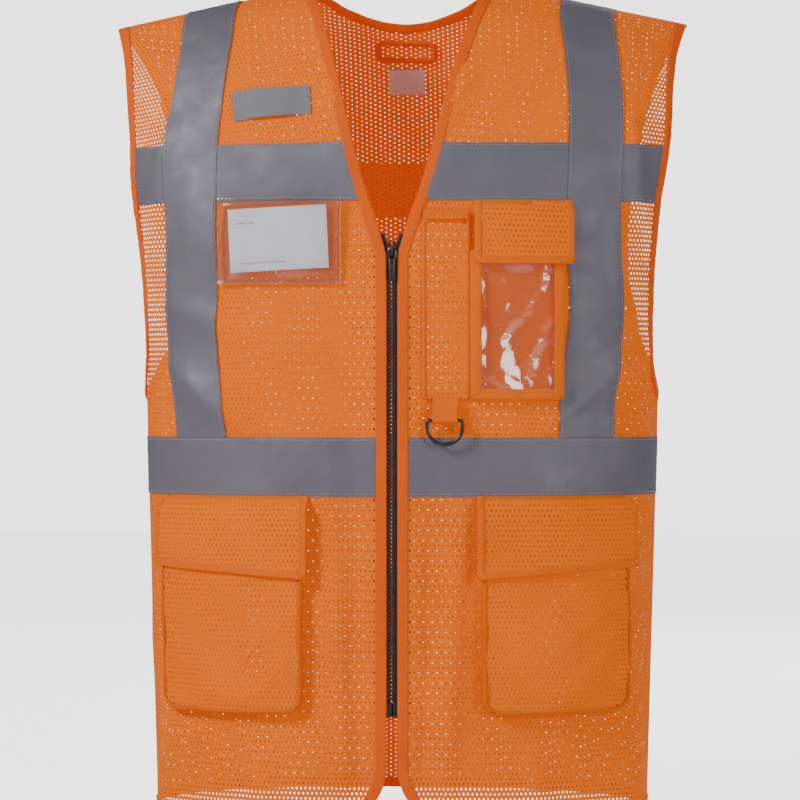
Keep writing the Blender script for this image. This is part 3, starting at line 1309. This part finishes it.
def flap_pieces(title, hand, parent, child, box, node, sewn, proud, slope):
    """A double mesh flap with a plain folded edge.

    proud is how far its outside stands off, sewn how low its top is, slope how much the edge rises outward.
    """
    x0, x1, z0, z1 = box

    def lift_of(p):
        z = p[..., 2]
        curl = 0.0012 * smooth((z0 + 0.014 - z) / 0.014)
        ripple = 0.0004 * np.sin(p[..., 0] * 95 + 1.3 * hand) * smooth((z1 - z) / 0.03)
        return sewn + (proud - sewn) * smooth((z1 - z) / 0.013) + curl + ripple

    def low_edge(x):
        return z0 + slope * np.clip((x - x0) / (x1 - x0), 0, 1)

    def place(u, v, lift):
        x = x0 + (x1 - x0) * u
        z = low_edge(x) + (z1 - low_edge(x)) * v
        climb, angle = find(hand * x, z)
        return lifted(FRONT, climb, angle, lift + lift_of(body(FRONT, climb, angle)))

    def hang(obj, *nodes):
        hung(obj, parent, child, "orange_mesh", z1, z1 - 0.012, *nodes)

    count = int((x1 - x0) / CLOTH_STEP)
    us, vs = spaced(0, 1, 1 / count, 0.006), spaced(0, 1, 0.06, 0.01)
    hang(sheet(f"{title}_lining", lining, place, us, vs, -0.0004, 0.0, uv_scale=(x1 - x0, z1 - z0)), node)

    def keep(p):
        x, z = p[..., 0] * hand, p[..., 2]
        across = (x > x0 + 0.001) & (x < x1 - 0.001)
        return across & (z > low_edge(x) + 0.001) & (z < z1 - 0.001) & (p[..., 1] < 0)

    hang(lattice(f"{title}_mesh", FRONT, keep, lambda p: lift_of(p) + 0.00045))
    xs = np.linspace(0.004, x1 - x0 - 0.004, 60) + x0
    down = line((x0, z1), (x0, low_edge(x0) + 0.004), 40)
    run = np.stack([xs, low_edge(xs)], -1)
    up = line((x1, low_edge(x1) + 0.004), (x1, z1), 40)
    path = np.vstack([down, run, up]) * np.array([hand, 1])
    heap = Heap()
    sewing = {"heap": heap, "stitch_at": (0.0048, 0.0011)}
    hang(rim(f"{title}_edge", FRONT, path, hand, FLAP_EDGE, hem_cloth, lift_of, **sewing))
    bar = line((x0 + 0.001, z1 - 0.002), (x1 - 0.001, z1 - 0.002), 80) * np.array([hand, 1])
    points, _, outward = path_frame(FRONT, bar, PATH_STEP, -hand)
    stitch(heap, points + outward * (sewn + 0.0007), outward)
    hang(heap.build(f"{title}_stitching", orange_thread))


def strip(title, hand, box, low, high):
    """A strip of hook or loop tape on the front."""
    x0, x1, z0, z1 = box

    def place(u, z, lift):
        return at(FRONT, hand * u, z, lift)

    return sheet(title, fuzz, place, spaced(x0, x1, CLOTH_STEP), spaced(z0, z1, CLOTH_STEP), low, high)


for hand in (1, -1):
    word, holder, flap_body = WORD[hand], TOP_BODY[hand], f"flap_{WORD[hand]}"
    heap = plain_threads[holder]
    path, sewing = bag_path(*BAG, 0.014, hand), {"heap": heap, "stitch_at": (0.0022, 0.0109)}
    made = rim(f"pocket_{word}_gusset", FRONT, path, hand, GUSSET, lining, **sewing)
    on(made, holder, "orange_mesh", f"lower_pocket_{word}")
    keep = in_bag(BAG[0] + 0.0005, BAG[1] - 0.0005, BAG[2] + 0.0005, BAG[3], 0.013, hand)
    made = lattice(f"pocket_{word}_bag", FRONT, keep, lambda p, hand=hand: 0.0099 + puff(p, hand))
    on(made, holder, "orange_mesh")
    made = strip(f"pocket_{word}_loop_strip", hand, POCKET_STRIP, 0.0100, 0.0104)
    on(made, holder, "hook_and_loop", f"pocket_loop_strip_{word}")
    made = strip(f"pocket_{word}_hook_strip", hand, POCKET_STRIP, 0.0106, 0.0110)
    on(made, flap_body, "hook_and_loop", f"pocket_hook_strip_{word}")
    flap_pieces(
        f"flap_{word}", hand, holder, flap_body, FLAP, f"pocket_flap_{word}",
        sewn=0.0016, proud=0.0119, slope=0.010,
    )

# Phone pocket: a facing round a clear window, its flap, and the pen pocket beside it
FACING = [
    (0.0, 0.0011), (-0.0003, 0.0048), (0.0004, 0.0066), (0.0018, 0.0071), (0.0084, 0.0070), (0.0093, 0.0066),
    (0.0092, 0.0060), (0.0080, 0.0058), (0.0018, 0.0058), (0.0010, 0.0048), (0.0010, 0.0011),
]
heap = plain_threads["front_left"]
path = round_trip(rounded(0.0665, 0.1455, 0.361, 0.489, 0.004, 5), 24)
sewing = {"closed": True, "heap": heap, "stitch_at": (0.0078, 0.0071)}
made = rim("phone_pocket_facing", FRONT, path, 1, FACING, hem_cloth, **sewing)
on(made, "front_left", "orange_mesh", "phone_pocket")


def flat_place(u, z, lift):
    return at(FRONT, u, z, lift)


us, vs = spaced(0.069, 0.143, 0.006), spaced(0.364, 0.486, 0.006)
made = sheet("phone_pocket_back", hem_cloth, flat_place, us, vs, 0.0011, 0.0016)
on(made, "front_left", "orange_mesh")


def window_place(u, z, lift):
    rough = 0.0012 * np.sin(u * 118 + 2.4 * np.sin(z * 37) + 0.8) * np.sin(z * 66 + 2.6 * np.sin(u * 64 + 1))
    rough = rough + 0.0003 * np.sin(u * 290 + 3 * np.sin(z * 83)) * np.sin(z * 120 + 1.5)
    edge = smooth((u - 0.072) / 0.01) * smooth((0.142 - u) / 0.01)
    edge = edge * smooth((z - 0.365) / 0.01) * smooth((0.478 - z) / 0.01)
    return at(FRONT, u, z, lift + (rough - 0.0004) * edge)


us, vs = spaced(0.0720, 0.1420, 0.0011), spaced(0.3650, 0.4780, 0.0011)
made = sheet("phone_window", film, window_place, us, vs, 0.0050, 0.0054)
on(made, "front_left", "clear_film", "phone_pocket_window")
made = strip("phone_loop_strip_pad", 1, PHONE_STRIP, 0.0071, 0.0075)
on(made, "front_left", "hook_and_loop", "phone_loop_strip")
made = strip("phone_hook_strip_pad", 1, PHONE_STRIP, 0.0077, 0.0081)
on(made, "phone_flap", "hook_and_loop", "phone_hook_strip")
flap_pieces(
    "flap_phone", 1, "front_left", "phone_flap", PHONE_FLAP, "phone_pocket_flap",
    sewn=0.0022, proud=0.0087, slope=0.0,
)

PEN_RIM = [
    (0.0, 0.0005), (-0.0002, 0.0024), (0.0008, 0.0034), (0.0030, 0.0035), (0.0032, 0.0028),
    (0.0012, 0.0024), (0.0010, 0.0005),
]
path, sewing = bag_path(*PEN, 0.004, 1), {"heap": heap, "stitch_at": (0.0020, 0.0036)}
made = rim("pen_pocket_sides", FRONT, path, 1, PEN_RIM, hem_cloth, **sewing)
on(made, "front_left", "orange_mesh", "pen_pocket")


def pen_lift(p):
    """How far the front of the pen pocket stands off."""
    across = np.clip((p[..., 0] - PEN[0]) / (PEN[1] - PEN[0]), 0, 1)
    return 0.0028 + 0.0012 * np.sin(pi * across) * smooth((p[..., 2] - PEN[2]) / 0.03)


made = lattice("pen_pocket_mesh", FRONT, in_bag(*PEN, 0.004, 1), pen_lift)
on(made, "front_left", "orange_mesh")
TOP_HEM = [
    (0.0, 0.0), (0.0002, 0.0009), (0.0014, 0.0012), (0.0080, 0.0011), (0.0082, 0.0004), (0.0014, -0.0004),
]
path = line((PEN[0] + 0.001, PEN[3]), (PEN[1] - 0.001, PEN[3]), 60)
sewing = {"heap": heap, "stitch_at": (0.0070, 0.0041)}
made = rim("pen_pocket_hem", FRONT, path, 1, TOP_HEM, hem_cloth, pen_lift, **sewing)
on(made, "front_left", "orange_mesh")

# D-ring in its folded loop
RING_X, RING_Y, RING_Z = 0.045, -0.1336, 0.3438
turns = np.linspace(radians(20), radians(-200), 22)
loop_line = np.vstack([
    [(-0.1314, 0.3640), (-0.1318, 0.3570), (-0.1312, 0.3490)],
    np.stack([RING_Y + 0.0024 * np.cos(turns), RING_Z + 0.0024 * np.sin(turns)], -1),
    [(-0.1358, 0.3490), (-0.1352, 0.3560), (-0.1340, 0.3630)],
])
loop_line = resample(curve_through(loop_line, 6), 0.0006)
loop_out = np.gradient(loop_line, axis=0)
loop_out = unit(np.stack([loop_out[:, 1], -loop_out[:, 0]], -1))
if np.dot(loop_out[len(loop_out) // 2], loop_line[len(loop_line) // 2] - [RING_Y, RING_Z]) < 0:
    loop_out = -loop_out


def loop_place(u, x, lift):
    share = u * (len(loop_line) - 1)
    index = np.arange(len(loop_line))
    y, z = (np.interp(share, index, loop_line[:, i]) for i in (0, 1))
    ny, nz = (np.interp(share, index, loop_out[:, i]) for i in (0, 1))
    return np.stack([RING_X + x + 0.0004 * np.sin(z * 300), y + ny * lift, z + nz * lift], -1)


us, vs = spaced(0, 1, 0.012, 0.004), spaced(-0.0105, 0.0105, 0.0015)
made = sheet("d_ring_loop", hem_cloth, loop_place, us, vs, -0.0003, 0.0003, uv_scale=(0.045, 1))
on(made, "front_left", "orange_mesh", "ring_loop")
for z, y in ((0.3525, -0.13585), (0.3575, -0.13535)):
    stitch_forward(heap, line((RING_X - 0.0095, y, z), (RING_X + 0.0095, y, z), 30))
bar = [(x, 0.0) for x in np.linspace(-0.0125, 0.0125, 9)]
corner_r = [(0.0125 + 0.0025 * sin(a), -0.0025 + 0.0025 * cos(a)) for a in np.linspace(0.2, pi / 2, 6)]
bow = [(0.015 * cos(a), -0.0055 - 0.015 * sin(a)) for a in np.linspace(0, pi, 30)]
corner_l = [(-x, z) for x, z in corner_r[::-1]]
ring_line = np.array([(RING_X + x, RING_Y, RING_Z + z) for x, z in bar + corner_r + bow + corner_l])
heap_ring = Heap()
tube(heap_ring, ring_line, 0.0016, closed=True, sides=18)
on(heap_ring.build("d_ring_wire", ring_finish), "ring", "black_plastic", "d_ring")


# Badge holder and card, microphone tab
def upright(u, z, lift):
    """A point of a stiff piece that hangs upright from the chest."""
    p = at(FRONT, u, np.full(np.shape(u), 0.478), lift)
    return np.concatenate([p[..., :2], np.asarray(z)[..., None]], -1)


def badge_front(u, z, lift):
    bulge = smooth((u + 0.148) / 0.012) * smooth((-0.046 - u) / 0.012) * smooth((z - 0.462) / 0.012)
    wrinkle = 0.00035 * np.sin(u * 130 + 3 * np.sin(z * 60)) + 0.00025 * np.sin(z * 190 + u * 80)
    return upright(u, z, lift + (0.0012 + wrinkle) * bulge)


heap_film = Heap()
us, vs = spaced(-0.150, -0.044, 0.003), spaced(0.460, 0.5335, 0.003)
heap_film.add(*thick(badge_front, us, vs, 0.0047, 0.0051))
us, vs = spaced(-0.150, -0.044, 0.006), spaced(0.460, 0.5340, 0.006)
heap_film.add(*thick(upright, us, vs, 0.0032, 0.0036))
WELDS = [
    (-0.1495, -0.1475, 0.461, 0.5335), (-0.0465, -0.0445, 0.461, 0.5335), (-0.148, -0.046, 0.4605, 0.4625),
    (-0.1470, -0.0470, 0.5275, 0.5285),
]
for x0, x1, z0, z1 in WELDS:
    us, vs = spaced(x0, x1, 0.004, 0.0003), spaced(z0, z1, 0.004, 0.0003)
    heap_film.add(*thick(badge_front, us, vs, 0.0050, 0.0056))
on(heap_film.build("badge_holder", badge_film), "front_right", "clear_film", "badge_pocket")
heap = plain_threads["front_right"]
stitch_forward(heap, upright(np.linspace(-0.148, -0.046, 90), np.full(90, 0.4612), np.full(90, 0.0057)))
for x in (-0.1485, -0.0455):
    stitch_forward(heap, upright(np.full(60, x), np.linspace(0.462, 0.532, 60), np.full(60, 0.0057)))

TILT = radians(2.6)


def card_place(u, v, lift):
    x = -0.0975 + u * cos(TILT) - v * sin(TILT)
    z = 0.4985 + u * sin(TILT) + v * cos(TILT)
    return upright(x, z, lift)


us, vs = spaced(-0.0425, 0.0425, 0.006, 0.0003), spaced(-0.0270, 0.0270, 0.006, 0.0003)
on(sheet("card_stock", card_stock, card_place, us, vs, 0.0040, 0.0045), "card", "white_card", "id_card")
heap_ink = Heap()
for x0, x1, v0, v1 in ((-0.038, -0.020, 0.0140, 0.0148), (-0.034, 0.006, -0.0200, -0.0193)):
    us, vs = spaced(x0, x1, 0.004, 0.0002), spaced(v0, v1, 0.0004, 0.0001)
    heap_ink.add(*thick(card_place, us, vs, 0.00456, 0.00462))
on(heap_ink.build("card_lines", card_ink), "card", "white_card")

MIC_TILT = radians(4.5)


def mic_place(u, v, lift):
    x = -0.106 + u * cos(MIC_TILT) - v * sin(MIC_TILT)
    z = 0.617 + u * sin(MIC_TILT) + v * cos(MIC_TILT)
    bow_out = 0.0022 * smooth((0.026 - np.abs(u)) / 0.014)
    return at(FRONT, x, z, lift + bow_out)


us, vs = spaced(-0.034, 0.034, 0.0025), spaced(-0.0125, 0.0125, 0.0025)
made = sheet("microphone_tab", webbing, mic_place, us, vs, 0.0008, 0.0024)
over_shoulder(made, -1, "grey_webbing", "mic_tab")
for u in (-0.0315, -0.0285, 0.0285, 0.0315):
    v = np.linspace(-0.0105, 0.0105, 30)
    row = mic_place(np.full(30, u), v, np.full(30, 0.0025))
    stitch(threads["front_right"], row, unit(mic_place(np.full(30, u), v, np.full(30, 0.0035)) - row))

# Hanger loop and blank label inside the back
LOOP_TAPE = [
    (-0.0025, -0.0024), (-0.0025, -0.0018), (0.0, -0.0015), (0.0025, -0.0018), (0.0025, -0.0024),
    (0.0, -0.0028),
]
path = round_trip(rounded(-0.026, 0.026, 0.6745, 0.6895, 0.005, 6), 16)
made = rim("hanger_loop_tape", BACK, path, 1, LOOP_TAPE, trim_cloth, closed=True)
on(made, "back", "orange_binding", "hanger_loop")


def label_place(u, z, lift):
    return at(BACK, u, z, lift - 0.0004 * np.sin(u * 90) ** 2)


us, vs = spaced(-0.017, 0.017, 0.003), spaced(0.644, 0.666, 0.003)
made = sheet("blank_label", label_cloth, label_place, us, vs, -0.0014, -0.0010)
on(made, "back", "white_label", "size_label")

# Sewing thread
for key, hand in (("front_left", 1), ("front_right", -1)):
    made = threads[key].build(f"stitching_grey_{WORD[hand]}", grey_thread)
    over_shoulder(made, hand, "reflective_tape")
    made = plain_threads[key].build(f"stitching_orange_{WORD[hand]}", orange_thread)
    over_shoulder(made, hand, "orange_binding")
on(threads["back"].build("stitching_grey_back", grey_thread), "back", "reflective_tape")
on(plain_threads["back"].build("stitching_orange_back", orange_thread), "back", "orange_binding")


# Light, floor and camera
AMBIENT, BACKDROP, FLOOR_GLOW = 0.24, 2.8, 2.35
CAMERA_TURN, CAMERA_REACH = radians(3.5), 2.5
CAMERA_AIM, CAMERA_WIDTH = Vector((0.0068, -0.130, 0.361)), 0.6776


def stage_and_camera():
    half, low = 6.0, -0.03
    corners = [(-half, -half, low), (half, -half, low), (half, half, low), (-half, half, low)]
    paint_material = bpy.data.materials.new("floor_paint")
    paint_material.use_nodes = True
    floor_tree = paint_material.node_tree
    floor = mesh_object("floor", corners, [(0, 1, 2, 3)], paint_material)
    paint = floor_tree.nodes["Principled BSDF"]
    paint.inputs["Base Color"].default_value = (0.80, 0.80, 0.80, 1)
    paint.inputs["Roughness"].default_value = 0.9
    paint.inputs["Emission Color"].default_value = (1, 1, 1, 1)
    looked_at = floor_tree.nodes.new("ShaderNodeLightPath").outputs["Is Camera Ray"]
    pale = floor_tree.nodes.new("ShaderNodeMath")
    pale.operation = "MULTIPLY"
    pale.inputs[1].default_value = FLOOR_GLOW
    floor_tree.links.new(looked_at, pale.inputs[0])
    floor_tree.links.new(pale.outputs[0], paint.inputs["Emission Strength"])
    floor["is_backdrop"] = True
    world = bpy.data.worlds.new("studio")
    world.use_nodes = True
    nodes, links = world.node_tree.nodes, world.node_tree.links
    seen = nodes.new("ShaderNodeLightPath").outputs["Is Camera Ray"]
    strength = nodes.new("ShaderNodeMapRange")
    strength.inputs["To Min"].default_value = AMBIENT
    strength.inputs["To Max"].default_value = BACKDROP
    links.new(seen, strength.inputs["Value"])
    links.new(strength.outputs["Result"], nodes["Background"].inputs["Strength"])
    nodes["Background"].inputs["Color"].default_value = (1, 1, 1, 1)
    bpy.context.scene.world = world

    def area(name, place, aim, power, wide):
        data = bpy.data.lights.new(name, "AREA")
        data.shape, data.size, data.energy = "SQUARE", wide, power
        lamp = bpy.data.objects.new(name, data)
        bpy.context.scene.collection.objects.link(lamp)
        lamp.location = place
        lamp.rotation_euler = (Vector(aim) - Vector(place)).to_track_quat("-Z", "Y").to_euler()
        lamp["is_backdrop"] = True

    area("key", (-1.75, -1.6, 1.75), (0, 0, 0.36), 52, 0.7)
    area("fill", (1.9, -1.8, 0.8), (0, 0, 0.36), 19, 1.0)
    area("back", (0.9, 2.1, 1.5), (0, 0, 0.40), 30, 0.9)
    camera = bpy.data.objects.new("camera", bpy.data.cameras.new("camera"))
    bpy.context.scene.collection.objects.link(camera)
    camera.location = CAMERA_AIM + Vector((sin(CAMERA_TURN), -cos(CAMERA_TURN), 0)) * CAMERA_REACH
    camera.rotation_euler = (CAMERA_AIM - camera.location).to_track_quat("-Z", "Y").to_euler()
    camera.data.lens = 36 * CAMERA_REACH / CAMERA_WIDTH
    bpy.context.scene.camera = camera


stage_and_camera()
low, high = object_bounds()
